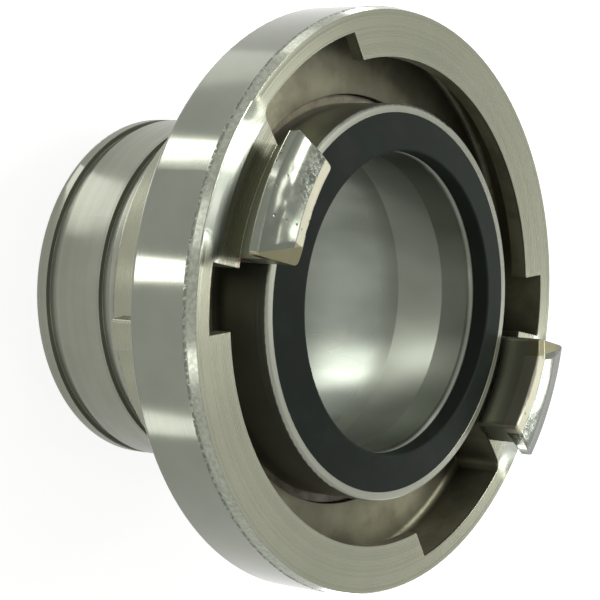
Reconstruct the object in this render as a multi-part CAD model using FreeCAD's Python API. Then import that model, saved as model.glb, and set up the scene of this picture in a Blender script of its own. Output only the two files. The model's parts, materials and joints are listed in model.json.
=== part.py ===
import FreeCAD
import Part
import math
import os

# Half of a two-claw quarter turn coupling for a 75 mm fire hose, in millimetres.
# The axis is Z, the tail ends at Z = 0 and the claws point up. Claw one lies on +X.

# Distance between the claws' inner faces, which sets the coupling's size
claw_distance = 89.0

# Heights along the axis
face_z = 68.7
claw_rise = 10.3
hook_gap = 6.5
nose_edge_rise = 8.8
collar_rise = 1.0
channel_depth = 12.0
seat_depth = 3.0
rim_width = 17.3
edge_band = 2.5
hub_length = 22.9
snap_from_back = 5.5
slide_ring_t = 1.4

# Claws
stem_wall = 6.5
nose_length = 5.0
strip_width = 2.5
claw_half_deg = 14.1
claw_crown = 0.25
claw_corner = 0.7
claw_inner_corner = 1.0
claw_edge = 0.4
lead_in_length = 3.6
lead_in_drop = 0.8

# Locking ring walls
lip_clearance = 1.3
nose_clearance = 2.5
rim_wall = 4.5
edge_band_drop = 0.7
channel_corner = 1.5
hub_wall = 4.42
hub_root = 1.5
hub_edge = 0.8
rim_back_edge = 1.2

# Windows and lips, angles from the claw's middle
stop_deg = 16.3
lip_start_deg = 30.3
lip_end_deg = 128.5
lip_end_slant_deg = 2.4
lip_thick = 4.0
lip_thin = 2.8
recess_corner = 2.2
recess_slant_deg = 1.5
recess_round_deg = 2.2
recess_bulge = 0.35

# Spanner lugs on the hub
lug_count = 4
lug_first_deg = 34.5
lug_width = 6.6
lug_height = 4.0
lug_length = 19.9
lug_edge = 0.8

# Hose tail walls, from the head inwards
head_gap = 2.0
shoulder_width = 3.0
head_edge = 0.6
shank_step = 0.8
shank_edge = 0.5
groove_depth = 1.2
tail_wall = 3.7
tail_edge = 1.0
bore_step = 3.0
bore_mouth = 1.6
bore_tail_edge = 0.6
collar_wall = 1.9
pocket_width = 4.6
pocket_depth = 7.0
undercut_depth = 0.6
undercut_height = 2.5
ledge_drop = 2.0

# Lengths along the hose tail, from the tail's end
end_lip_length = 3.4
low_groove_length = 3.2
band_length = 12.8
high_groove_length = 3.3
front_bore_length = 8.5
cone_length = 14.5

# Seal
seal_set_back = 0.4
seal_rise = 3.0
seal_lip_edge = 0.5

# Snap ring wire
wire_d = 2.4
snap_gap_deg = 14.0

# Clearances
run_fit = 0.08
slide_gap = 0.1
seal_gap = 0.05

# How far the pieces of the ring reach into each other before they are joined
sink = 0.5
wall_overlap = 1.5
lip_back = 8.0
ramp_over = 2.0
ramp_over_deg = 6.0

# Radii and heights within this distance count as the same
near = 0.01

axis_dir = FreeCAD.Vector(0, 0, 1)
origin = FreeCAD.Vector(0, 0, 0)


def polar(r, deg, z):
    turn = math.radians(deg)
    return FreeCAD.Vector(r * math.cos(turn), r * math.sin(turn), z)


def turned(points, start_deg=0.0, sweep_deg=360.0):
    """Solid turned about the axis from a closed section of (radius, height) points."""
    corners = []
    for r, z in points:
        corners.append(FreeCAD.Vector(r, 0, z))
    corners.append(corners[0])
    solid = Part.Face(Part.makePolygon(corners)).revolve(origin, axis_dir, sweep_deg)
    solid.rotate(origin, axis_dir, start_deg)
    return solid


def twin(solid):
    """The solid and its copy half a turn round."""
    other = solid.copy()
    other.rotate(origin, axis_dir, 180)
    return [solid, other]


def round_edges(solid, radius, height, size):
    """Round the full circular edges that have this radius and height."""
    picked = []
    for edge in solid.Edges:
        curve = edge.Curve
        if isinstance(curve, Part.Circle):
            same = abs(curve.Radius - radius) < near and abs(curve.Center.z - height) < near
            if same:
                picked.append(edge)
    return solid.makeFillet(size, picked)


def edges_where(solid, test):
    picked = []
    for edge in solid.Edges:
        ends = [v.Point for v in edge.Vertexes]
        mid = edge.valueAt(0.5 * (edge.FirstParameter + edge.LastParameter))
        if len(ends) == 2 and test(ends, mid):
            picked.append(edge)
    return picked


def radius_of(point):
    return math.hypot(point.x, point.y)


# Radii from the claws outwards
claw_in_r = 0.5 * claw_distance
strip_r = claw_in_r + strip_width
stem_r = claw_in_r + stem_wall
nose_r = stem_r + nose_length
lip_r = stem_r + lip_clearance
channel_r = nose_r + nose_clearance
rim_r = channel_r + rim_wall

# Radii from the claws inwards
head_r = claw_in_r - head_gap
neck_r = head_r - shoulder_width
shank_r = neck_r - shank_step
shank_groove_r = shank_r - groove_depth
bore_tail_r = shank_r - tail_wall
bore_front_r = bore_tail_r - bore_step
pocket_r = head_r - collar_wall
pocket_undercut_r = pocket_r + undercut_depth
ledge_r = pocket_r - pocket_width
seal_in_r = bore_front_r + seal_set_back
hole_r = neck_r + run_fit
hub_r = hole_r + hub_wall

# Heights on the locking ring
rim_back_z = face_z - rim_width
hub_back_z = rim_back_z - hub_length
lug_back_z = rim_back_z - lug_length
floor_z = face_z - channel_depth
seat_z = floor_z - seat_depth
claw_top_z = face_z + claw_rise
hook_z = face_z + hook_gap
snap_z = hub_back_z + snap_from_back
snap_half = 0.5 * wire_d + slide_gap
snap_hub_r = hole_r + 0.5 * wire_d + slide_gap
snap_neck_r = neck_r - wire_d - slide_gap

# Locking ring: the turned blank with its open channel
ring_section = [
    (hole_r, hub_back_z + hub_edge),
    (hole_r + hub_edge, hub_back_z),
    (hub_r, hub_back_z),
    (hub_r, rim_back_z),
    (rim_r, rim_back_z),
    (rim_r, face_z - edge_band),
    (rim_r - edge_band_drop, face_z),
    (channel_r, face_z),
    (channel_r, floor_z),
    (claw_in_r, floor_z),
    (claw_in_r, seat_z),
    (hole_r, seat_z),
    (hole_r, snap_z + snap_half),
    (snap_hub_r, snap_z + snap_half),
    (snap_hub_r, snap_z - snap_half),
    (hole_r, snap_z - snap_half),
]
ring = turned(ring_section)
ring = round_edges(ring, hub_r, rim_back_z, hub_root)
ring = round_edges(ring, hub_r, hub_back_z, hub_edge)
ring = round_edges(ring, rim_r, rim_back_z, rim_back_edge)
ring = round_edges(ring, channel_r, floor_z, channel_corner)

# The lip: flat on the face, with a helical underside that draws the claws in
wall_in = channel_r + wall_overlap
lip_outer_end = lip_end_deg + lip_end_slant_deg
middle_deg = 0.5 * (lip_start_deg + lip_end_deg)
lip_low = face_z - lip_back
lip_lines = [
    Part.Arc(
        polar(lip_r, lip_start_deg, lip_low),
        polar(lip_r, middle_deg, lip_low),
        polar(lip_r, lip_end_deg, lip_low),
    ).toShape(),
    Part.makeLine(polar(lip_r, lip_end_deg, lip_low), polar(wall_in, lip_outer_end, lip_low)),
    Part.Arc(
        polar(wall_in, lip_outer_end, lip_low),
        polar(wall_in, middle_deg, lip_low),
        polar(wall_in, lip_start_deg, lip_low),
    ).toShape(),
    Part.makeLine(polar(wall_in, lip_start_deg, lip_low), polar(lip_r, lip_start_deg, lip_low)),
]
lip = Part.Face(Part.Wire(lip_lines)).extrude(FreeCAD.Vector(0, 0, lip_back))
ramp_pitch = (lip_thick - lip_thin) * 360.0 / (lip_end_deg - lip_start_deg)
ramp_deg = lip_end_deg - lip_start_deg + 2.0 * ramp_over_deg
ramp_start_z = face_z - lip_thick - ramp_pitch * ramp_over_deg / 360.0
ramp_path = Part.makeHelix(ramp_pitch, ramp_pitch * ramp_deg / 360.0, channel_r)
ramp_path.translate(FreeCAD.Vector(0, 0, ramp_start_z))
ramp_low = ramp_start_z - lip_back
ramp_section = Part.makePolygon(
    [
        FreeCAD.Vector(lip_r - ramp_over, 0, ramp_start_z),
        FreeCAD.Vector(wall_in + ramp_over, 0, ramp_start_z),
        FreeCAD.Vector(wall_in + ramp_over, 0, ramp_low),
        FreeCAD.Vector(lip_r - ramp_over, 0, ramp_low),
        FreeCAD.Vector(lip_r - ramp_over, 0, ramp_start_z),
    ]
)
ramp = Part.Wire(ramp_path.Edges).makePipeShell([ramp_section], True, True)
ramp.rotate(origin, axis_dir, lip_start_deg - ramp_over_deg)
lip = lip.cut(ramp)

# The solid sector that carries a claw: a stop on one side, a rounded recess wall on the other
block_in = stem_r - sink
block_low = floor_z - sink
block_height = face_z - block_low
round_deg = -claw_half_deg - recess_slant_deg
wall_deg = round_deg - recess_round_deg
recess_start = polar(block_in, -claw_half_deg, block_low)
round_start = polar(channel_r - recess_corner, round_deg, block_low)
round_middle_r = channel_r - recess_bulge * recess_corner
round_middle = polar(round_middle_r, round_deg - recess_bulge * recess_round_deg, block_low)
round_end = polar(channel_r, wall_deg, block_low)
block_lines = [
    Part.makeLine(recess_start, round_start),
    Part.Arc(round_start, round_middle, round_end).toShape(),
    Part.makeLine(round_end, polar(wall_in, wall_deg, block_low)),
    Part.Arc(
        polar(wall_in, wall_deg, block_low),
        polar(wall_in, 0, block_low),
        polar(wall_in, stop_deg, block_low),
    ).toShape(),
    Part.makeLine(polar(wall_in, stop_deg, block_low), polar(block_in, stop_deg, block_low)),
    Part.Arc(
        polar(block_in, stop_deg, block_low),
        polar(block_in, 0, block_low),
        recess_start,
    ).toShape(),
]
block = Part.Face(Part.Wire(block_lines)).extrude(FreeCAD.Vector(0, 0, block_height))

# A claw: stem, hooked nose and crowned top
crown_mid_r = 0.5 * (nose_r + strip_r)
crown_mid_z = face_z + 0.5 * (nose_edge_rise + claw_rise) + claw_crown
nose_top = FreeCAD.Vector(nose_r, 0, face_z + nose_edge_rise)
strip_edge = FreeCAD.Vector(strip_r, 0, claw_top_z)
claw_lines = [
    Part.makeLine(FreeCAD.Vector(claw_in_r, 0, block_low), FreeCAD.Vector(stem_r, 0, block_low)),
    Part.makeLine(FreeCAD.Vector(stem_r, 0, block_low), FreeCAD.Vector(stem_r, 0, hook_z)),
    Part.makeLine(FreeCAD.Vector(stem_r, 0, hook_z), FreeCAD.Vector(nose_r, 0, hook_z)),
    Part.makeLine(FreeCAD.Vector(nose_r, 0, hook_z), nose_top),
    Part.Arc(nose_top, FreeCAD.Vector(crown_mid_r, 0, crown_mid_z), strip_edge).toShape(),
    Part.makeLine(strip_edge, FreeCAD.Vector(claw_in_r, 0, claw_top_z)),
    Part.makeLine(FreeCAD.Vector(claw_in_r, 0, claw_top_z), FreeCAD.Vector(claw_in_r, 0, block_low)),
]
claw = Part.Face(Part.Wire(claw_lines)).revolve(origin, axis_dir, 2.0 * claw_half_deg)
claw.rotate(origin, axis_dir, -claw_half_deg)


def upright(ends):
    return abs(ends[0].z - ends[1].z) > 0.5 * (nose_edge_rise - hook_gap)


def at_nose_corner(ends, mid):
    return upright(ends) and abs(radius_of(mid) - nose_r) < near and mid.z > hook_z


def at_inner_corner(ends, mid):
    return upright(ends) and abs(radius_of(mid) - claw_in_r) < near


def at_claw_top(ends, mid):
    return min(ends[0].z, ends[1].z) > face_z + nose_edge_rise - near


claw = claw.makeFillet(claw_corner, edges_where(claw, at_nose_corner))
claw = claw.makeFillet(claw_inner_corner, edges_where(claw, at_inner_corner))
claw = claw.makeFillet(claw_edge, edges_where(claw, at_claw_top))

# The facet on the leading end: nothing at the nose's outer edge, deepest at the inner face
lead_in_deg = math.degrees(lead_in_length / claw_in_r)
lead_in_plane = Part.Plane(
    polar(nose_r, claw_half_deg, face_z + nose_edge_rise),
    polar(claw_in_r, claw_half_deg - lead_in_deg, claw_top_z),
    polar(claw_in_r, claw_half_deg, claw_top_z - lead_in_drop),
)
lead_in_face = lead_in_plane.toShape(-nose_r, nose_r, -nose_r, nose_r)
claw = claw.cut(lead_in_face.extrude(FreeCAD.Vector(0, 0, claw_rise)))


def at_lug_edge(ends, mid):
    free = mid.x > hub_r + 0.5 * lug_height or abs(mid.z - lug_back_z) < near
    return free and mid.x > hub_r and min(ends[0].z, ends[1].z) < rim_back_z


# Spanner lugs
lugs = []
for index in range(lug_count):
    corner = FreeCAD.Vector(hub_r - wall_overlap, -0.5 * lug_width, lug_back_z)
    lug = Part.makeBox(lug_height + wall_overlap, lug_width, lug_length + sink, corner)
    lug = lug.makeFillet(lug_edge, edges_where(lug, at_lug_edge))
    lug.rotate(origin, axis_dir, lug_first_deg + index * 360.0 / lug_count)
    lugs.append(lug)

pieces = twin(lip) + twin(block) + twin(claw) + lugs
locking_ring = ring.multiFuse(pieces).removeSplitter()

# Hose tail: head with the seal pocket, neck for the ring, ribbed shank for the hose
collar_z = face_z + collar_rise
head_back_z = seat_z + slide_ring_t + 2.0 * slide_gap
pocket_z = collar_z - pocket_depth
ledge_z = collar_z - ledge_drop
low_groove_z = end_lip_length
band_z = low_groove_z + low_groove_length
high_groove_z = band_z + band_length
neck_back_z = high_groove_z + high_groove_length
cone_top_z = ledge_z - front_bore_length
cone_low_z = cone_top_z - cone_length
tail_section = [
    (bore_tail_r, 0.0),
    (shank_r, 0.0),
    (shank_r, low_groove_z),
    (shank_groove_r, low_groove_z),
    (shank_groove_r, band_z),
    (shank_r, band_z),
    (shank_r, high_groove_z),
    (shank_groove_r, high_groove_z),
    (shank_groove_r, neck_back_z),
    (neck_r, neck_back_z),
    (neck_r, snap_z - snap_half),
    (snap_neck_r, snap_z - snap_half),
    (snap_neck_r, snap_z + snap_half),
    (neck_r, snap_z + snap_half),
    (neck_r, head_back_z),
    (head_r, head_back_z),
    (head_r, collar_z),
    (pocket_r, collar_z),
    (pocket_r, pocket_z + undercut_height),
    (pocket_undercut_r, pocket_z + undercut_height),
    (pocket_undercut_r, pocket_z),
    (ledge_r, pocket_z),
    (ledge_r, ledge_z),
    (bore_front_r, ledge_z),
    (bore_front_r, cone_top_z),
    (bore_tail_r, cone_low_z),
]
hose_tail = turned(tail_section)
hose_tail = round_edges(hose_tail, shank_r, 0.0, tail_edge)
hose_tail = round_edges(hose_tail, bore_tail_r, 0.0, bore_tail_edge)
hose_tail = round_edges(hose_tail, head_r, collar_z, head_edge)
hose_tail = round_edges(hose_tail, bore_front_r, ledge_z, bore_mouth)
hose_tail = round_edges(hose_tail, neck_r, neck_back_z, shank_edge)

# Pressure seal: foot in the pocket, conical face, inner lip on the ledge
seal_section = [
    (seal_in_r, ledge_z + seal_gap),
    (ledge_r + seal_gap, ledge_z + seal_gap),
    (ledge_r + seal_gap, pocket_z + seal_gap),
    (pocket_undercut_r - seal_gap, pocket_z + seal_gap),
    (pocket_undercut_r - seal_gap, pocket_z + undercut_height - seal_gap),
    (pocket_r - seal_gap, pocket_z + undercut_height - seal_gap),
    (pocket_r - seal_gap, collar_z),
    (seal_in_r, face_z + seal_rise),
]
pressure_seal = turned(seal_section)
pressure_seal = round_edges(pressure_seal, seal_in_r, face_z + seal_rise, seal_lip_edge)

# Slide ring between the ring's seat and the head's shoulder
slide_ring_section = [
    (neck_r + slide_gap, seat_z + slide_gap),
    (claw_in_r - 2.0 * slide_gap, seat_z + slide_gap),
    (claw_in_r - 2.0 * slide_gap, seat_z + slide_gap + slide_ring_t),
    (neck_r + slide_gap, seat_z + slide_gap + slide_ring_t),
]
slide_ring = turned(slide_ring_section)

# Snap ring: an open ring of round wire, half in the hub and half in the neck
wire_r = 0.5 * wire_d
snap_mid_r = snap_hub_r - slide_gap - wire_r
snap_centre = FreeCAD.Vector(snap_mid_r, 0, snap_z)
wire_disc = Part.Face(Part.Wire(Part.makeCircle(wire_r, snap_centre, FreeCAD.Vector(0, 1, 0))))
snap_ring = wire_disc.revolve(origin, axis_dir, 360.0 - snap_gap_deg)
snap_ring.rotate(origin, axis_dir, 90.0)

os.makedirs("parts", exist_ok=True)
locking_ring.exportStep("parts/locking_ring.step")
hose_tail.exportStep("parts/hose_tail.step")
pressure_seal.exportStep("parts/pressure_seal.step")
slide_ring.exportStep("parts/slide_ring.step")
snap_ring.exportStep("parts/snap_ring.step")
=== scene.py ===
import json
import math

import bpy
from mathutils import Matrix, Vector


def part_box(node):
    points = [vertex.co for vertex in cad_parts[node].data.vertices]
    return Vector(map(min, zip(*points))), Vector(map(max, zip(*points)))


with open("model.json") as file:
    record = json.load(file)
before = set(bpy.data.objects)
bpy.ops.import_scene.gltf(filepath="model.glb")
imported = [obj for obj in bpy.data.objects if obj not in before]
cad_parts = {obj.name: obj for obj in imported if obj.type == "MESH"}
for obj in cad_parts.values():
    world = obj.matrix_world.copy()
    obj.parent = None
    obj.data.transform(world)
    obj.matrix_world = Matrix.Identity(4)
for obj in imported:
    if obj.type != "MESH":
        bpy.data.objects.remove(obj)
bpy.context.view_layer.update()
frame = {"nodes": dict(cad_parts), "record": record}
nodes = frame["nodes"]
mounts = {mount["name"]: mount for mount in frame["record"]["mounts"]}

MM = 0.001

# Sizes from the frame. The part's axis is Z, the tail stands on Z = 0 and claw one lies on +X
RIM_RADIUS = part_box("locking_ring")[1].x
FACE_HEIGHT = mounts["claw_lock"]["pos_m"][2]
BORE_RADIUS = mounts["waterway_tail"]["dims"]["r_mm"] * MM

# Places on the rim and in the channel, from the rim's radius and the height of its face
CHANNEL_RADIUS = RIM_RADIUS - 4.5 * MM
EDGE_BAND_RADIUS = RIM_RADIUS - 0.8 * MM
EDGE_BAND_HEIGHT = FACE_HEIGHT - 2.5 * MM
RIM_BACK_HEIGHT = FACE_HEIGHT - 17.3 * MM

# Places on and beside the claws. Their distance, from inner face to inner face, is the
# coupling's standard size. The rubbed face fades out round BESIDE_CLAW from a claw's middle
CLAW_DISTANCE = 89.0 * MM
CLAW_STRIP_RADIUS = 0.5 * CLAW_DISTANCE + 2.5 * MM
STEM_RADIUS = 0.5 * CLAW_DISTANCE + 6.5 * MM
NOSE_RADIUS = STEM_RADIUS + 5.0 * MM
WORN_FACE_RADIUS = NOSE_RADIUS + 1.0 * MM
BESIDE_CLAW = 15.0 * MM
HOOK_HEIGHT = FACE_HEIGHT + 6.5 * MM

# Where the bore's darker front starts, and where the stain lies
BORE_DARK_FRONT_HEIGHT = 41.0 * MM
STAIN_PLACE = (47.6 * MM, 12.4 * MM, FACE_HEIGHT)

# The edge of a claw's lead-in facet, as a line: its shift across the claw for each mm outward,
# and how far to the side of the part's axis it starts
LEAD_IN_SLANT = 0.6
LEAD_IN_START = -19.7 * MM

# How far apart tool marks, grain, pinholes and scuffs are drawn
RING_MARKS = 0.45 * MM
TAIL_MARKS = 0.5 * MM
WIDE_MARKS = 2.6 * MM
WIRE_LINES = 0.4 * MM
CASTING_GRAIN = 0.9 * MM
PINHOLE_SPACING = 1.5 * MM
RUBBER_SKIN = 0.6 * MM
SLIDE_SCUFFS = 0.8 * MM

# How wide the patches of colour, dirt and wear are
RING_CLOUDS = 14.0 * MM
RING_SMUDGES = 5.0 * MM
NOSE_WAVES = 8.0 * MM
TAIL_CLOUDS = 11.0 * MM
WATER_STREAKS = 14.0 * MM
RUBBER_DUST = 9.0 * MM
SLIDE_SOIL = 6.0 * MM

# How deep wear and relief go
BROKEN_EDGE = 0.3 * MM
MARK_DEPTH = 0.02 * MM
SKIN_DEPTH = 0.2 * MM
FACE_WEAR = 1.2 * MM
NOSE_WEAR = 1.0 * MM
NOSE_WAVE = 0.3 * MM

# The photograph's viewing angle: the lens in mm, the place in metres, the turn in degrees
CAMERA_LENS = 132.0
CAMERA_PLACE = (0.35127, 0.13869, 0.35000)
CAMERA_TURN = (-5.038, -50.776, -152.093)


def srgb(hex_colour):
    """A hex colour as the linear values that the shaders take."""
    channels = []
    for start in (0, 2, 4):
        value = int(hex_colour[start:start + 2], 16) / 255.0
        if value <= 0.04045:
            channels.append(value / 12.92)
        else:
            channels.append(((value + 0.055) / 1.055) ** 2.4)
    return (channels[0], channels[1], channels[2], 1.0)


def add(tree, kind, inputs=None, **settings):
    """Add a node, set its values and links, and return its first output that is in use.

    An input goes by its name, or by its number where a node's inputs share one name. A node
    that has no output is returned itself.
    """
    node = tree.nodes.new("ShaderNode" + kind)
    for name, value in settings.items():
        setattr(node, name, value)
    for name, value in (inputs or {}).items():
        socket = node.inputs[name] if isinstance(name, int) else None
        for candidate in node.inputs:
            if socket is None and candidate.enabled and candidate.name == name:
                socket = candidate
        if isinstance(value, bpy.types.NodeSocket):
            tree.links.new(value, socket)
        else:
            socket.default_value = value
    for output in node.outputs:
        if output.enabled:
            return output
    return node


def new_material(name):
    """An empty material with its shader, and its tree."""
    material = bpy.data.materials.new(name)
    material.use_nodes = True
    tree = material.node_tree
    tree.nodes.clear()
    shader = add(tree, "BsdfPrincipled").node
    add(tree, "OutputMaterial", {"Surface": shader.outputs["BSDF"]})
    return material, tree, shader


def connect(tree, shader, **links):
    """Link results to the shader's sockets, with spaces written as underscores."""
    for name, value in links.items():
        tree.links.new(value, shader.inputs[name.replace("_", " ")])


def place_on_part(tree):
    """Object coordinates, then the distance from the axis, the height and the way to the claws."""
    coords = add(tree, "TexCoord").node.outputs["Object"]
    split = add(tree, "SeparateXYZ", {"Vector": coords}).node.outputs
    flat = add(tree, "CombineXYZ", {"X": split["X"], "Y": split["Y"]})
    radius = add(tree, "VectorMath", {0: flat}, operation="LENGTH").node.outputs["Value"]
    return coords, radius, split["Z"], split["X"], split["Y"]


def turning_marks(tree, radius, height, pitch):
    """Fine rings left by the lathe tool: they change with radius and height only."""
    flat = add(tree, "CombineXYZ", {"X": radius, "Y": height})
    return add(
        tree, "TexNoise",
        {"Vector": flat, "Scale": 1.0 / pitch, "Detail": 3.0, "Roughness": 0.6},
    )


def lathe_grain(tree, shader, strength):
    """Metal with ring-shaped tool marks, which stretch each highlight along the axis."""
    around = add(tree, "Tangent", direction_type="RADIAL", axis="Z")
    connect(tree, shader, Tangent=around)
    shader.inputs["Anisotropic"].default_value = strength
    shader.inputs["Anisotropic Rotation"].default_value = 0.25


def ring_zones(tree, place, grain):
    """Where each finish of the locking ring lies, from 0 outside a zone to 1 inside it."""
    coords, radius, height, along, across = place
    zones = {}

    # The channel that the other half's claws run in, left as cast
    below_face = add(
        tree, "MapRange",
        {"Value": height, "From Min": FACE_HEIGHT - 0.9 * MM, "From Max": FACE_HEIGHT - 0.2 * MM,
         "To Min": 1.0, "To Max": 0.0},
        interpolation_type="SMOOTHSTEP",
    )
    inside_wall = add(
        tree, "MapRange",
        {"Value": radius, "From Min": CHANNEL_RADIUS + 0.1 * MM,
         "From Max": CHANNEL_RADIUS + 0.3 * MM, "To Min": 1.0, "To Max": 0.0},
        interpolation_type="SMOOTHSTEP",
    )
    above_back = add(
        tree, "MapRange",
        {"Value": height, "From Min": RIM_BACK_HEIGHT + 1.0 * MM,
         "From Max": RIM_BACK_HEIGHT + 1.4 * MM},
        interpolation_type="SMOOTHSTEP",
    )
    channel = add(tree, "Math", {0: below_face, 1: inside_wall}, operation="MULTIPLY")
    zones["channel"] = add(tree, "Math", {0: channel, 1: above_back}, operation="MULTIPLY")

    # The turned rim, the narrow band round its front edge, and the knocks where the two meet
    outer = add(
        tree, "MapRange",
        {"Value": radius, "From Min": EDGE_BAND_RADIUS, "From Max": EDGE_BAND_RADIUS + 0.15 * MM},
        interpolation_type="SMOOTHSTEP",
    )
    in_front = add(
        tree, "MapRange",
        {"Value": height, "From Min": EDGE_BAND_HEIGHT - 0.1 * MM,
         "From Max": EDGE_BAND_HEIGHT + 0.1 * MM},
        interpolation_type="SMOOTHSTEP",
    )
    behind = add(
        tree, "MapRange",
        {"Value": height, "From Min": EDGE_BAND_HEIGHT - 0.1 * MM, "From Max": EDGE_BAND_HEIGHT,
         "To Min": 1.0, "To Max": 0.0},
        interpolation_type="SMOOTHSTEP",
    )
    zones["band"] = add(tree, "Math", {0: outer, 1: in_front}, operation="MULTIPLY")
    zones["rim"] = add(tree, "Math", {0: outer, 1: behind}, operation="MULTIPLY")
    from_edge = add(tree, "Math", {0: height, 1: EDGE_BAND_HEIGHT}, operation="SUBTRACT")
    from_edge = add(tree, "Math", {0: from_edge}, operation="ABSOLUTE")
    at_edge = add(
        tree, "MapRange",
        {"Value": from_edge, "From Min": 0.15 * MM, "From Max": 0.6 * MM,
         "To Min": 1.0, "To Max": 0.0},
        interpolation_type="SMOOTHSTEP",
    )
    at_edge = add(tree, "Math", {0: at_edge, 1: outer}, operation="MULTIPLY")
    uneven = add(
        tree, "MapRange",
        {"Value": grain, "From Min": 0.4, "From Max": 0.56},
        interpolation_type="SMOOTHSTEP",
    )
    zones["knocks"] = add(tree, "Math", {0: at_edge, 1: uneven}, operation="MULTIPLY")

    # The hooked ends of the claws: their rubbed tops and the slanting facets that lead them in
    nose = add(
        tree, "MapRange",
        {"Value": height, "From Min": HOOK_HEIGHT, "From Max": HOOK_HEIGHT + 0.3 * MM},
        interpolation_type="SMOOTHSTEP",
    )
    past_strip = add(
        tree, "MapRange",
        {"Value": radius, "From Min": CLAW_STRIP_RADIUS, "From Max": CLAW_STRIP_RADIUS + 0.3 * MM},
        interpolation_type="SMOOTHSTEP",
    )
    zones["nose"] = nose
    zones["claw_top"] = add(tree, "Math", {0: nose, 1: past_strip}, operation="MULTIPLY")

    # The claws lie half a turn apart, so the way across each is signed to make the two alike
    outward = add(tree, "Math", {0: along}, operation="ABSOLUTE")
    signed = add(tree, "Math", {0: along, 1: across}, operation="MULTIPLY")
    sideways = add(tree, "Math", {0: signed, 1: outward}, operation="DIVIDE")
    slant = add(
        tree, "Math", {0: outward, 1: -LEAD_IN_SLANT, 2: sideways},
        operation="MULTIPLY_ADD",
    )
    past_line = add(
        tree, "MapRange",
        {"Value": slant, "From Min": LEAD_IN_START, "From Max": LEAD_IN_START + 0.3 * MM},
        interpolation_type="SMOOTHSTEP",
    )
    zones["lead_in"] = add(tree, "Math", {0: nose, 1: past_line}, operation="MULTIPLY")

    # The claws stand above the face, where no lathe tool reaches
    zones["on_claw"] = add(
        tree, "MapRange",
        {"Value": height, "From Min": FACE_HEIGHT + 0.6 * MM, "From Max": FACE_HEIGHT + 1.2 * MM},
        interpolation_type="SMOOTHSTEP",
    )

    # Pinholes of the casting, scattered over the hooked ends. Real ones are 0.1 to 0.4 mm,
    # which is too fine to show, so they are drawn about 0.5 mm across
    cells = add(
        tree, "TexVoronoi", {"Vector": coords, "Scale": 1.0 / PINHOLE_SPACING},
        feature="F1",
    ).node
    hole = add(
        tree, "MapRange",
        {"Value": cells.outputs["Distance"], "From Min": 0.12, "From Max": 0.24,
         "To Min": 1.0, "To Max": 0.0},
        interpolation_type="SMOOTHSTEP",
    )
    chance = add(tree, "SeparateColor", {"Color": cells.outputs["Color"]})
    some = add(tree, "Math", {0: chance, 1: 0.8}, operation="GREATER_THAN")
    hole = add(tree, "Math", {0: hole, 1: some}, operation="MULTIPLY")
    zones["pinholes"] = add(tree, "Math", {0: hole, 1: nose}, operation="MULTIPLY")

    # Casting skin that the rubbing hasn't reached, on the inner half of each claw's top
    unrubbed = add(
        tree, "MapRange",
        {"Value": radius, "From Min": CLAW_STRIP_RADIUS + 1.5 * MM,
         "From Max": CLAW_STRIP_RADIUS + 5.5 * MM, "To Min": 1.0, "To Max": 0.0},
        interpolation_type="SMOOTHSTEP",
    )
    towards_tip = add(
        tree, "MapRange",
        {"Value": sideways, "From Min": -9.0 * MM, "From Max": 3.0 * MM,
         "To Min": 1.0, "To Max": 0.0},
        interpolation_type="SMOOTHSTEP",
    )
    unrubbed = add(tree, "Math", {0: unrubbed, 1: towards_tip}, operation="MULTIPLY")
    zones["skin"] = add(tree, "Math", {0: unrubbed, 1: zones["claw_top"]}, operation="MULTIPLY")

    # The face beside each claw, rubbed down by the claws of other couplings
    near_claw = add(tree, "Math", {0: across}, operation="ABSOLUTE")
    near_claw = add(
        tree, "MapRange",
        {"Value": near_claw, "From Min": BESIDE_CLAW - 4.0 * MM,
         "From Max": BESIDE_CLAW + 4.0 * MM, "To Min": 1.0, "To Max": 0.0},
        interpolation_type="SMOOTHSTEP",
    )
    from_below = add(
        tree, "MapRange",
        {"Value": height, "From Min": FACE_HEIGHT - 0.4 * MM, "From Max": FACE_HEIGHT - 0.1 * MM},
        interpolation_type="SMOOTHSTEP",
    )
    from_above = add(
        tree, "MapRange",
        {"Value": height, "From Min": FACE_HEIGHT + 0.5 * MM, "From Max": FACE_HEIGHT + 0.8 * MM,
         "To Min": 1.0, "To Max": 0.0},
        interpolation_type="SMOOTHSTEP",
    )
    on_face = add(tree, "Math", {0: from_below, 1: from_above}, operation="MULTIPLY")
    far_out = add(
        tree, "MapRange",
        {"Value": outward, "From Min": STEM_RADIUS - 1.0 * MM, "From Max": STEM_RADIUS + 3.0 * MM},
        interpolation_type="SMOOTHSTEP",
    )
    by_claw = add(tree, "Math", {0: near_claw, 1: on_face}, operation="MULTIPLY")
    zones["by_claw"] = add(tree, "Math", {0: by_claw, 1: far_out}, operation="MULTIPLY")
    outer_half = add(
        tree, "MapRange",
        {"Value": radius, "From Min": NOSE_RADIUS - 1.0 * MM, "From Max": NOSE_RADIUS + 2.0 * MM},
        interpolation_type="SMOOTHSTEP",
    )
    zones["worn"] = add(tree, "Math", {0: zones["by_claw"], 1: outer_half}, operation="MULTIPLY")

    # One spot of old rust-red grease in the corner of a stop
    corner = add(tree, "VectorMath", {0: coords, 1: STAIN_PLACE}, operation="DISTANCE").node
    zones["stain"] = add(
        tree, "MapRange",
        {"Value": corner.outputs["Value"], "From Min": 0.8 * MM, "From Max": 2.6 * MM,
         "To Min": 0.8, "To Max": 0.0},
        interpolation_type="SMOOTHSTEP",
    )
    return zones


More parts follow.
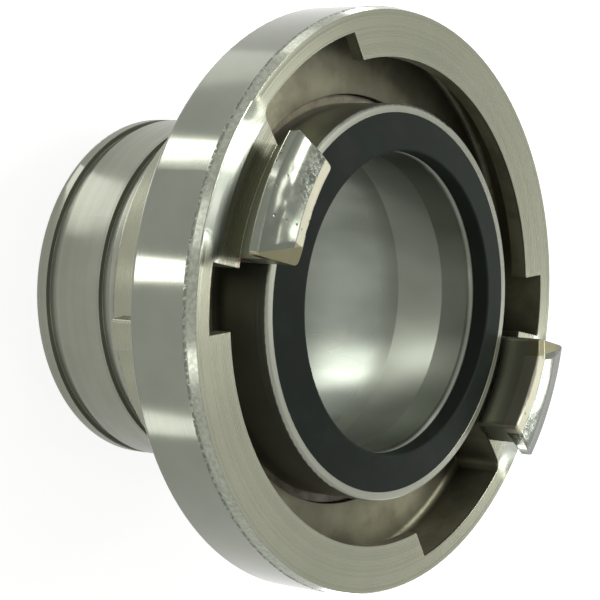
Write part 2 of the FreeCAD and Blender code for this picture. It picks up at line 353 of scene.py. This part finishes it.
def ring_colour(tree, zones, cloud, smudge, grain):
    """Bare aluminium in slightly different greys: yellower as cast, cooler where it is turned.

    Old grease and dirt brown the channel, and painted shade from ambient occlusion darkens its
    corners.
    """
    face = add(
        tree, "Mix", {"Factor": cloud, "A": srgb("90917F"), "B": srgb("828473")},
        data_type="RGBA",
    )
    face = add(
        tree, "Mix", {"Factor": zones["worn"], "A": face, "B": srgb("A6AB9F")},
        data_type="RGBA",
    )
    # The rim's grey is darker than the face's: painted shade, for the darker surroundings the
    # turned rim mirrors
    rim = add(
        tree, "Mix", {"Factor": cloud, "A": srgb("7C7F74"), "B": srgb("6D7066")},
        data_type="RGBA",
    )

    old_grease = add(
        tree, "MapRange", {"Value": cloud, "From Min": 0.35, "From Max": 0.65},
        interpolation_type="SMOOTHSTEP",
    )
    channel = add(
        tree, "Mix", {"Factor": old_grease, "A": srgb("6A6854"), "B": srgb("7E7C67")},
        data_type="RGBA",
    )
    dirt = add(
        tree, "MapRange",
        {"Value": smudge, "From Min": 0.5, "From Max": 0.75, "To Min": 0.0, "To Max": 0.4},
        interpolation_type="SMOOTHSTEP",
    )
    channel = add(
        tree, "Mix", {"Factor": dirt, "A": channel, "B": srgb("504C3C")},
        data_type="RGBA",
    )
    # Painted shade: ambient occlusion darkens the channel's corners and recesses towards near-black
    # brown
    open_air = add(tree, "AmbientOcclusion", {"Distance": 9.0 * MM}, samples=6).node.outputs["AO"]
    painted_corner_shade = add(
        tree, "MapRange",
        {"Value": open_air, "From Min": 0.3, "From Max": 0.85, "To Min": 0.9, "To Max": 0.0},
        interpolation_type="SMOOTHSTEP",
    )
    channel = add(
        tree, "Mix", {"Factor": painted_corner_shade, "A": channel, "B": srgb("2A2820")},
        data_type="RGBA",
    )

    strip = add(
        tree, "Mix", {"Factor": smudge, "A": srgb("92907E"), "B": srgb("9E9C8A")},
        data_type="RGBA",
    )
    # The claws' rubbed tops are a darker grey than the strip: painted shade, for the dark
    # surroundings they mirror
    top = add(
        tree, "Mix", {"Factor": smudge, "A": srgb("5E6258"), "B": srgb("767A6F")},
        data_type="RGBA",
    )
    bead = add(
        tree, "MapRange", {"Value": grain, "From Min": 0.42, "From Max": 0.6},
        interpolation_type="SMOOTHSTEP",
    )
    skin = add(
        tree, "Mix", {"Factor": bead, "A": srgb("54584E"), "B": srgb("8C9085")},
        data_type="RGBA",
    )
    top = add(tree, "Mix", {"Factor": zones["skin"], "A": top, "B": skin}, data_type="RGBA")
    hook = add(tree, "Mix", {"Factor": zones["claw_top"], "A": strip, "B": top}, data_type="RGBA")
    hook = add(
        tree, "Mix", {"Factor": zones["lead_in"], "A": hook, "B": srgb("7C795F")},
        data_type="RGBA",
    )
    hook = add(
        tree, "Mix", {"Factor": zones["pinholes"], "A": hook, "B": srgb("56584E")},
        data_type="RGBA",
    )

    speckle = add(
        tree, "MapRange", {"Value": grain, "From Min": 0.35, "From Max": 0.65},
        interpolation_type="SMOOTHSTEP",
    )
    band = add(
        tree, "Mix", {"Factor": speckle, "A": srgb("7F8276"), "B": srgb("909488")},
        data_type="RGBA",
    )
    knocked = add(tree, "Math", {0: zones["knocks"], 1: 0.7}, operation="MULTIPLY")

    colour = add(tree, "Mix", {"Factor": zones["rim"], "A": face, "B": rim}, data_type="RGBA")
    colour = add(
        tree, "Mix", {"Factor": zones["channel"], "A": colour, "B": channel},
        data_type="RGBA",
    )
    colour = add(tree, "Mix", {"Factor": zones["nose"], "A": colour, "B": hook}, data_type="RGBA")
    colour = add(tree, "Mix", {"Factor": zones["band"], "A": colour, "B": band}, data_type="RGBA")
    colour = add(
        tree, "Mix", {"Factor": knocked, "A": colour, "B": srgb("4C4D43")},
        data_type="RGBA",
    )
    return add(
        tree, "Mix", {"Factor": zones["stain"], "A": colour, "B": srgb("6E3424")},
        data_type="RGBA",
    )


def ring_roughness(tree, zones, marks):
    """The rim is the smoothest, the cast channel and the knocks are the dullest."""
    rough = add(
        tree, "MapRange",
        {"Value": marks, "From Min": 0.3, "From Max": 0.75, "To Min": 0.22, "To Max": 0.34},
        interpolation_type="SMOOTHSTEP",
    )
    rim = add(
        tree, "MapRange",
        {"Value": marks, "From Min": 0.3, "From Max": 0.75, "To Min": 0.13, "To Max": 0.21},
        interpolation_type="SMOOTHSTEP",
    )
    top = add(tree, "Mix", {"Factor": zones["pinholes"], "A": 0.15, "B": 0.35}, data_type="FLOAT")
    rough = add(tree, "Mix", {"Factor": zones["rim"], "A": rough, "B": rim}, data_type="FLOAT")
    rough = add(tree, "Mix", {"Factor": zones["channel"], "A": rough, "B": 0.4}, data_type="FLOAT")
    rough = add(tree, "Mix", {"Factor": zones["worn"], "A": rough, "B": 0.18}, data_type="FLOAT")
    rough = add(tree, "Mix", {"Factor": zones["on_claw"], "A": rough, "B": 0.32}, data_type="FLOAT")
    rough = add(tree, "Mix", {"Factor": zones["claw_top"], "A": rough, "B": top}, data_type="FLOAT")
    rough = add(tree, "Mix", {"Factor": zones["lead_in"], "A": rough, "B": 0.36}, data_type="FLOAT")
    rough = add(tree, "Mix", {"Factor": zones["band"], "A": rough, "B": 0.2}, data_type="FLOAT")
    return add(tree, "Mix", {"Factor": zones["knocks"], "A": rough, "B": 0.5}, data_type="FLOAT")


def ring_relief(tree, place, zones, marks, grain):
    """Broken edges, tool marks, casting skin, pinholes, knocks, and the rubbed fall by the claws.

    The rubbed fall is drawn by slope alone: the face falls away by up to 1.2 mm beside each claw,
    and the claws' tops by up to 1 mm towards their outer edge.
    """
    coords, radius = place[:2]
    eased = add(tree, "Bevel", {"Radius": BROKEN_EDGE}, samples=4)
    cut = add(tree, "Mix", {"Factor": zones["on_claw"], "A": marks, "B": 0.5}, data_type="FLOAT")
    fine = add(
        tree, "Bump", {"Strength": 0.12, "Distance": MARK_DEPTH, "Height": cut, "Normal": eased},
    )

    skin = add(tree, "Math", {0: zones["channel"], 1: 0.4}, operation="MULTIPLY")
    skin = add(tree, "Math", {0: skin, 1: zones["knocks"]}, operation="MAXIMUM")
    beads = add(tree, "Math", {0: zones["skin"], 1: 0.6}, operation="MULTIPLY")
    skin = add(tree, "Math", {0: skin, 1: beads}, operation="MAXIMUM")
    skin = add(tree, "Math", {0: skin, 1: grain}, operation="MULTIPLY")
    skin = add(tree, "Math", {0: zones["pinholes"], 1: -0.3, 2: skin}, operation="MULTIPLY_ADD")
    coarse = add(
        tree, "Bump", {"Strength": 0.5, "Distance": SKIN_DEPTH, "Height": skin, "Normal": fine},
    )

    face_fall = add(
        tree, "MapRange",
        {"Value": radius, "From Min": WORN_FACE_RADIUS, "From Max": EDGE_BAND_RADIUS,
         "To Min": 0.0, "To Max": -FACE_WEAR},
    )
    face_fall = add(tree, "Math", {0: zones["by_claw"], 1: face_fall}, operation="MULTIPLY")
    shoulder = add(
        tree, "MapRange",
        {"Value": radius, "From Min": STEM_RADIUS + 0.5 * MM, "From Max": NOSE_RADIUS,
         "To Min": 0.0, "To Max": 1.0},
    )
    rounding = add(tree, "Math", {0: shoulder, 1: shoulder}, operation="MULTIPLY")
    rounding = add(tree, "Math", {0: rounding, 1: zones["claw_top"]}, operation="MULTIPLY")
    waves = add(
        tree, "TexNoise",
        {"Vector": coords, "Scale": 1.0 / NOSE_WAVES, "Detail": 1.0, "Roughness": 0.6},
    )
    waves = add(tree, "Math", {0: waves, 1: zones["claw_top"]}, operation="MULTIPLY")
    rubbed_down = add(
        tree, "Math", {0: rounding, 1: -NOSE_WEAR, 2: face_fall},
        operation="MULTIPLY_ADD",
    )
    rubbed_down = add(
        tree, "Math", {0: waves, 1: NOSE_WAVE, 2: rubbed_down},
        operation="MULTIPLY_ADD",
    )
    return add(
        tree, "Bump", {"Strength": 1.0, "Distance": 1.0, "Height": rubbed_down, "Normal": coarse},
    )


def cast_and_turned_ring():
    """Sand-cast aluminium alloy, turned on the rim and the face and left as cast in the channel.

    To the eye the turned rim mirrors crisp bands of light, drawn out across its tool marks. The
    face is satin and slightly yellow. The cast channel is dull, brown with old grease. The tops of
    the claws are rubbed bright, with pinholes, and the rim's front edge is knocked and rough.
    The lathe's feed is about 0.2 mm, too fine to show, so its marks are drawn 0.45 mm apart.
    The casting sand's grains are 0.3 mm, too fine as well, so they are drawn 0.9 mm apart.
    """
    material, tree, shader = new_material("cast_aluminium_turned_rim")
    place = place_on_part(tree)
    coords, radius, height = place[:3]
    marks = turning_marks(tree, radius, height, RING_MARKS)
    cloud = add(
        tree, "TexNoise",
        {"Vector": coords, "Scale": 1.0 / RING_CLOUDS, "Detail": 3.0, "Roughness": 0.6},
    )
    smudge = add(
        tree, "TexNoise",
        {"Vector": coords, "Scale": 1.0 / RING_SMUDGES, "Detail": 3.0, "Roughness": 0.6},
    )
    grain = add(
        tree, "TexNoise",
        {"Vector": coords, "Scale": 1.0 / CASTING_GRAIN, "Detail": 5.0, "Roughness": 0.6},
    )
    zones = ring_zones(tree, place, grain)
    metal = add(tree, "Mix", {"Factor": zones["channel"], "A": 1.0, "B": 0.8}, data_type="FLOAT")
    connect(
        tree, shader,
        Base_Color=ring_colour(tree, zones, cloud, smudge, grain),
        Roughness=ring_roughness(tree, zones, marks),
        Normal=ring_relief(tree, place, zones, marks, grain),
        Metallic=metal,
    )
    lathe_grain(tree, shader, 0.7)
    return material


def turned_tail():
    """Aluminium bar, turned all over.

    To the eye the outside is satin, with grimy rings in its tool marks, and the bore is smoother.
    The bore has long dull streaks where water has dried, and is darker and duller towards its
    front.
    The lathe's feed is about 0.2 mm, too fine to show, so its marks are drawn 0.5 mm apart.
    """
    material, tree, shader = new_material("turned_aluminium_tail")
    coords, radius, height = place_on_part(tree)[:3]
    marks = turning_marks(tree, radius, height, TAIL_MARKS)
    wide_marks = turning_marks(tree, radius, height, WIDE_MARKS)
    cloud = add(
        tree, "TexNoise",
        {"Vector": coords, "Scale": 1.0 / TAIL_CLOUDS, "Detail": 3.0, "Roughness": 0.6},
    )
    bore = add(
        tree, "MapRange",
        {"Value": radius, "From Min": BORE_RADIUS + 0.1 * MM,
         "From Max": BORE_RADIUS + 0.3 * MM, "To Min": 1.0, "To Max": 0.0},
        interpolation_type="SMOOTHSTEP",
    )
    # The bore is drawn darker and duller towards its front
    darker_front = add(
        tree, "MapRange",
        {"Value": height, "From Min": BORE_DARK_FRONT_HEIGHT - 3.0 * MM,
         "From Max": BORE_DARK_FRONT_HEIGHT + 3.0 * MM},
        interpolation_type="SMOOTHSTEP",
    )
    grime = add(
        tree, "MapRange",
        {"Value": wide_marks, "From Min": 0.45, "From Max": 0.75, "To Min": 0.0, "To Max": 0.25},
        interpolation_type="SMOOTHSTEP",
    )
    outside_rough = add(
        tree, "MapRange",
        {"Value": marks, "From Min": 0.3, "From Max": 0.75, "To Min": 0.3, "To Max": 0.42},
        interpolation_type="SMOOTHSTEP",
    )
    outside = add(
        tree, "Mix", {"Factor": cloud, "A": srgb("8E9084"), "B": srgb("7D7F73")},
        data_type="RGBA",
    )
    outside = add(
        tree, "Mix", {"Factor": grime, "A": outside, "B": srgb("5B5D52")},
        data_type="RGBA",
    )
    inside = add(
        tree, "Mix", {"Factor": cloud, "A": srgb("868B82"), "B": srgb("7A7F76")},
        data_type="RGBA",
    )
    inside = add(tree, "Mix", {"Factor": darker_front, "A": inside, "B": srgb("767A6F")}, data_type="RGBA")
    streaks = add(tree, "VectorMath", {0: coords, 1: (1.0, 1.0, 0.35)}, operation="MULTIPLY")
    streaks = add(
        tree, "TexNoise",
        {"Vector": streaks, "Scale": 1.0 / WATER_STREAKS, "Detail": 2.0, "Roughness": 0.5},
    )
    dried = add(
        tree, "MapRange",
        {"Value": streaks, "From Min": 0.42, "From Max": 0.7, "To Min": 0.0, "To Max": 0.45},
        interpolation_type="SMOOTHSTEP",
    )
    inside = add(tree, "Mix", {"Factor": dried, "A": inside, "B": srgb("5C6056")}, data_type="RGBA")
    colour = add(tree, "Mix", {"Factor": bore, "A": outside, "B": inside}, data_type="RGBA")
    inside_rough = add(tree, "Mix", {"Factor": darker_front, "A": 0.24, "B": 0.36}, data_type="FLOAT")
    inside_rough = add(
        tree, "Mix", {"Factor": dried, "A": inside_rough, "B": 0.32},
        data_type="FLOAT",
    )
    rough = add(
        tree, "Mix", {"Factor": bore, "A": outside_rough, "B": inside_rough},
        data_type="FLOAT",
    )
    depth = add(tree, "Mix", {"Factor": bore, "A": marks, "B": 0.0}, data_type="FLOAT")
    eased = add(tree, "Bevel", {"Radius": BROKEN_EDGE}, samples=4)
    fine = add(
        tree, "Bump", {"Strength": 0.15, "Distance": MARK_DEPTH, "Height": depth, "Normal": eased},
    )
    connect(tree, shader, Base_Color=colour, Roughness=rough, Normal=fine)
    shader.inputs["Metallic"].default_value = 1.0
    lathe_grain(tree, shader, 0.5)
    return material


def moulded_rubber():
    """Black nitrile rubber, moulded.

    To the eye it is matt and nearly black, faintly green where dust lies on it. Its skin is as
    fine as the mould's, under 0.1 mm, too fine to show, so it is drawn 0.6 mm apart.
    """
    material, tree, shader = new_material("moulded_nitrile_rubber")
    coords = place_on_part(tree)[0]
    dust = add(
        tree, "TexNoise",
        {"Vector": coords, "Scale": 1.0 / RUBBER_DUST, "Detail": 4.0, "Roughness": 0.6},
    )
    skin = add(
        tree, "TexNoise",
        {"Vector": coords, "Scale": 1.0 / RUBBER_SKIN, "Detail": 3.0, "Roughness": 0.6},
    )
    dusty = add(
        tree, "MapRange", {"Value": dust, "From Min": 0.4, "From Max": 0.75},
        interpolation_type="SMOOTHSTEP",
    )
    colour = add(
        tree, "Mix", {"Factor": dusty, "A": srgb("0E140F"), "B": srgb("1A221B")},
        data_type="RGBA",
    )
    rough = add(
        tree, "MapRange",
        {"Value": dust, "From Min": 0.3, "From Max": 0.7, "To Min": 0.6, "To Max": 0.75},
        interpolation_type="SMOOTHSTEP",
    )
    bump = add(tree, "Bump", {"Strength": 0.3, "Distance": 0.05 * MM, "Height": skin})
    connect(tree, shader, Base_Color=colour, Roughness=rough, Normal=bump)
    shader.inputs["Specular IOR Level"].default_value = 0.12
    return material


def moulded_slide_plastic():
    """Acetal, moulded.

    To the eye it is pale brown and waxy, and dark where grease has soaked dirt. The scuffs from
    sliding are under 0.2 mm, too fine to show, so they are drawn 0.8 mm apart.
    """
    material, tree, shader = new_material("moulded_acetal")
    coords = place_on_part(tree)[0]
    soil = add(
        tree, "TexNoise",
        {"Vector": coords, "Scale": 1.0 / SLIDE_SOIL, "Detail": 4.0, "Roughness": 0.6},
    )
    scuffs = add(
        tree, "TexNoise",
        {"Vector": coords, "Scale": 1.0 / SLIDE_SCUFFS, "Detail": 3.0, "Roughness": 0.6},
    )
    soiled = add(
        tree, "MapRange", {"Value": soil, "From Min": 0.35, "From Max": 0.7},
        interpolation_type="SMOOTHSTEP",
    )
    colour = add(
        tree, "Mix", {"Factor": soiled, "A": srgb("7C745C"), "B": srgb("4C4636")},
        data_type="RGBA",
    )
    rough = add(
        tree, "MapRange",
        {"Value": soil, "From Min": 0.3, "From Max": 0.7, "To Min": 0.4, "To Max": 0.55},
        interpolation_type="SMOOTHSTEP",
    )
    bump = add(tree, "Bump", {"Strength": 0.2, "Distance": 0.05 * MM, "Height": scuffs})
    connect(tree, shader, Base_Color=colour, Roughness=rough, Normal=bump)
    shader.inputs["IOR"].default_value = 1.48
    return material


def drawn_wire():
    """Spring steel wire, drawn through a die.

    To the eye it is grey and fairly bright, with lines round the ring along the wire. The die's
    lines are under 0.1 mm apart, too fine to show, so they are drawn 0.4 mm apart.
    """
    material, tree, shader = new_material("drawn_spring_steel")
    radius, height = place_on_part(tree)[1:3]
    lines = turning_marks(tree, radius, height, WIRE_LINES)
    colour = add(
        tree, "Mix", {"Factor": lines, "A": srgb("9B9D9E"), "B": srgb("7F8182")},
        data_type="RGBA",
    )
    rough = add(
        tree, "MapRange",
        {"Value": lines, "From Min": 0.3, "From Max": 0.7, "To Min": 0.25, "To Max": 0.4},
        interpolation_type="SMOOTHSTEP",
    )
    bump = add(tree, "Bump", {"Strength": 0.2, "Distance": MARK_DEPTH, "Height": lines})
    connect(tree, shader, Base_Color=colour, Roughness=rough, Normal=bump)
    shader.inputs["Metallic"].default_value = 1.0
    return material


FINISHES = {
    "locking_ring": cast_and_turned_ring(),
    "hose_tail": turned_tail(),
    "pressure_seal": moulded_rubber(),
    "slide_ring": moulded_slide_plastic(),
    "snap_ring": drawn_wire(),
}
for name, finish in FINISHES.items():
    for slot in nodes[name].material_slots:
        slot.material = finish


def direct_view(tree):
    """One for the camera and for what metal or glass shows, nought for light on other things."""
    path = add(tree, "LightPath").node.outputs
    seen = add(
        tree, "Math", {0: path["Is Camera Ray"], 1: path["Is Glossy Ray"]},
        operation="MAXIMUM",
    )
    return add(tree, "Math", {0: seen, 1: path["Is Transmission Ray"]}, operation="MAXIMUM")


def white_floor():
    """Matt emulsion paint on a flat floor: plain white, with the part's shadow on it."""
    material, tree, shader = new_material("matt_white_emulsion")
    shader.inputs["Base Color"].default_value = srgb("ACACAA")
    shader.inputs["Roughness"].default_value = 0.9
    shader.inputs["Specular IOR Level"].default_value = 0.0
    shader.inputs["Emission Color"].default_value = (1.0, 1.0, 1.0, 1.0)
    glow = add(tree, "Math", {0: direct_view(tree), 1: 0.8}, operation="MULTIPLY")
    connect(tree, shader, Emission_Strength=glow)
    return material


# The floor reaches 6 m each way, past all that the camera and the metal show of it
REACH = 6.0
floor_mesh = bpy.data.meshes.new("floor")
floor_mesh.from_pydata(
    [(-REACH, -REACH, 0.0), (REACH, -REACH, 0.0), (REACH, REACH, 0.0), (-REACH, REACH, 0.0)],
    [], [(0, 1, 2, 3)],
)
floor_mesh.materials.append(white_floor())
floor = bpy.data.objects.new("floor", floor_mesh)
bpy.context.scene.collection.objects.link(floor)

world = bpy.data.worlds.new("studio")
world.use_nodes = True
world.node_tree.nodes.clear()
sky = add(
    world.node_tree, "Math", {0: direct_view(world.node_tree), 1: 0.5, 2: 0.5},
    operation="MULTIPLY_ADD",
)
background = add(world.node_tree, "Background", {"Color": (1.0, 1.0, 1.0, 1.0), "Strength": sky})
add(world.node_tree, "OutputWorld", {"Surface": background})
bpy.context.scene.world = world


def lamp(name, place, turn, length, width, radiance):
    """A rectangular lamp of this brightness, out of the camera's sight."""
    light = bpy.data.lights.new(name, "AREA")
    light.shape = "RECTANGLE"
    light.size = length
    light.size_y = width
    light.energy = radiance * math.pi * length * width
    box = bpy.data.objects.new(name, light)
    box.location = place
    box.rotation_euler = turn
    box.visible_camera = False
    bpy.context.scene.collection.objects.link(box)


def softbox(name, azimuth, elevation, distance, length, width, radiance):
    """A lamp that faces the part from this direction, in degrees, its sizes in metres."""
    turn = math.radians(azimuth)
    rise = math.radians(elevation)
    place = (
        distance * math.cos(rise) * math.cos(turn),
        distance * math.cos(rise) * math.sin(turn),
        RIM_BACK_HEIGHT + distance * math.sin(rise),
    )
    lamp(name, place, (0.5 * math.pi - rise, 0.0, turn + 0.5 * math.pi), length, width, radiance)


def floor_strip(name, x, y, azimuth, length, width, radiance):
    """A lamp that lies on the floor and shines up, its length along the azimuth, in mm."""
    turn = (math.pi, 0.0, math.radians(azimuth))
    lamp(name, (x * MM, y * MM, 1.5 * MM), turn, length * MM, width * MM, radiance)


# Soft lamps above: one large, and small ones where the rubbed claws and face mirror them
softbox(
    "key_softbox",
    azimuth=-104.0, elevation=58.0, distance=1.2,
    length=0.36, width=0.36, radiance=22.0,
)
softbox(
    "nose_light",
    azimuth=-68.0, elevation=68.0, distance=1.2,
    length=0.20, width=0.14, radiance=7.0,
)
softbox(
    "worn_face_light",
    azimuth=-140.0, elevation=64.0, distance=1.2,
    length=0.05, width=0.08, radiance=8.0,
)
softbox(
    "claw_top_light",
    azimuth=-155.5, elevation=51.0, distance=1.2,
    length=0.10, width=0.20, radiance=9.0,
)
softbox(
    "far_claw_light",
    azimuth=-162.5, elevation=22.0, distance=1.2,
    length=0.13, width=0.18, radiance=9.0,
)
softbox(
    "edge_band_light",
    azimuth=0.0, elevation=-3.0, distance=0.5,
    length=0.14, width=0.05, radiance=5.0,
)

# Small lamps on the floor, where the turned rim, the tail and the bore mirror them as bright bands
floor_strip(
    "rim_light_high",
    x=117.5, y=-42.5, azimuth=-35.0,
    length=44.0, width=13.0, radiance=9.0,
)
floor_strip(
    "rim_light_middle",
    x=122.0, y=37.0, azimuth=14.5,
    length=44.0, width=14.0, radiance=9.0,
)
floor_strip(
    "rim_light_low",
    x=57.0, y=108.0, azimuth=78.0,
    length=44.0, width=14.0, radiance=3.0,
)
floor_strip(
    "rim_light_top",
    x=71.0, y=-92.0, azimuth=-78.0,
    length=60.0, width=30.0, radiance=0.9,
)
floor_strip(
    "edge_glint_high",
    x=-24.0, y=-187.0, azimuth=-114.0,
    length=60.0, width=30.0, radiance=6.0,
)
floor_strip(
    "edge_glint_low",
    x=-142.0, y=84.0, azimuth=169.0,
    length=60.0, width=30.0, radiance=6.0,
)
floor_strip(
    "shank_light",
    x=50.0, y=-11.0, azimuth=-35.0,
    length=24.0, width=20.0, radiance=1.8,
)
floor_strip(
    "bore_light",
    x=5.0, y=-20.0, azimuth=-30.0,
    length=30.0, width=12.0, radiance=9.0,
)
floor_strip(
    "bore_fill",
    x=0.0, y=2.0, azimuth=10.0,
    length=20.0, width=22.0, radiance=0.4,
)

# Three long floor lamps, this many mm from the axis, and three strip boxes behind them, for the
# sides seen from low down
SIDE_LIGHT_DISTANCE = 420.0
for side in (-70.0, 45.0, 168.0):
    turn = math.radians(side)
    floor_strip(
        "side_floor_light",
        x=SIDE_LIGHT_DISTANCE * math.cos(turn),
        y=SIDE_LIGHT_DISTANCE * math.sin(turn),
        azimuth=side,
        length=400.0, width=60.0, radiance=3.0,
    )
    softbox(
        "side_strip_box",
        azimuth=side, elevation=12.0, distance=0.9,
        length=0.12, width=0.46, radiance=3.0,
    )

camera_data = bpy.data.cameras.new("photo_camera")
camera_data.lens = CAMERA_LENS
camera_data.sensor_width = 36.0
camera_data.clip_start = 0.01
camera = bpy.data.objects.new("photo_camera", camera_data)
camera.location = CAMERA_PLACE
camera.rotation_euler = [math.radians(turn) for turn in CAMERA_TURN]
bpy.context.scene.collection.objects.link(camera)
bpy.context.scene.camera = camera
bpy.context.scene.view_settings.view_transform = "Standard"
